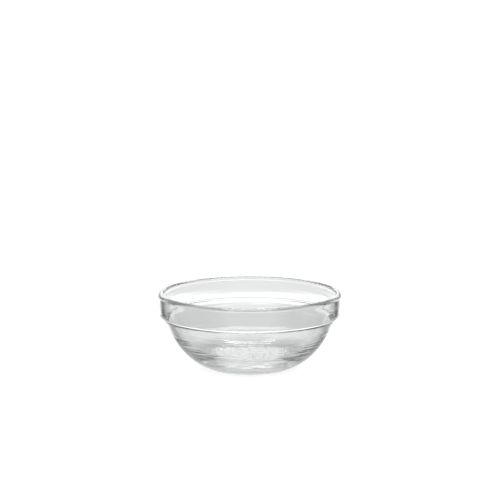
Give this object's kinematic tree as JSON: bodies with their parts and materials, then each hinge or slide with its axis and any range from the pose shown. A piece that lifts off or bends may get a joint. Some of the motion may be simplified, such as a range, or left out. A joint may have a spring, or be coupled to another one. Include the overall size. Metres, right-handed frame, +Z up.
{
  "type": "prep bowl",
  "caption": "Small clear pressed-glass prep bowl with a rounded lip, an upright rim band, a stacking step under it, a curved wall and a flat foot ring.",
  "frame": {"origin": "middle of the foot ring, on the surface that the bowl stands on", "axes": "+Z up along the bowl's axis, out of its mouth; X and Y are alike, because the bowl is round"},
  "size_m": [0.105, 0.105, 0.044],
  "materials": {
    "clear_glass": "clear, fire-polished gloss"
  },
  "bodies": {
    "root": {"glass_bowl": "clear_glass"}
  },
  "joints": []
}
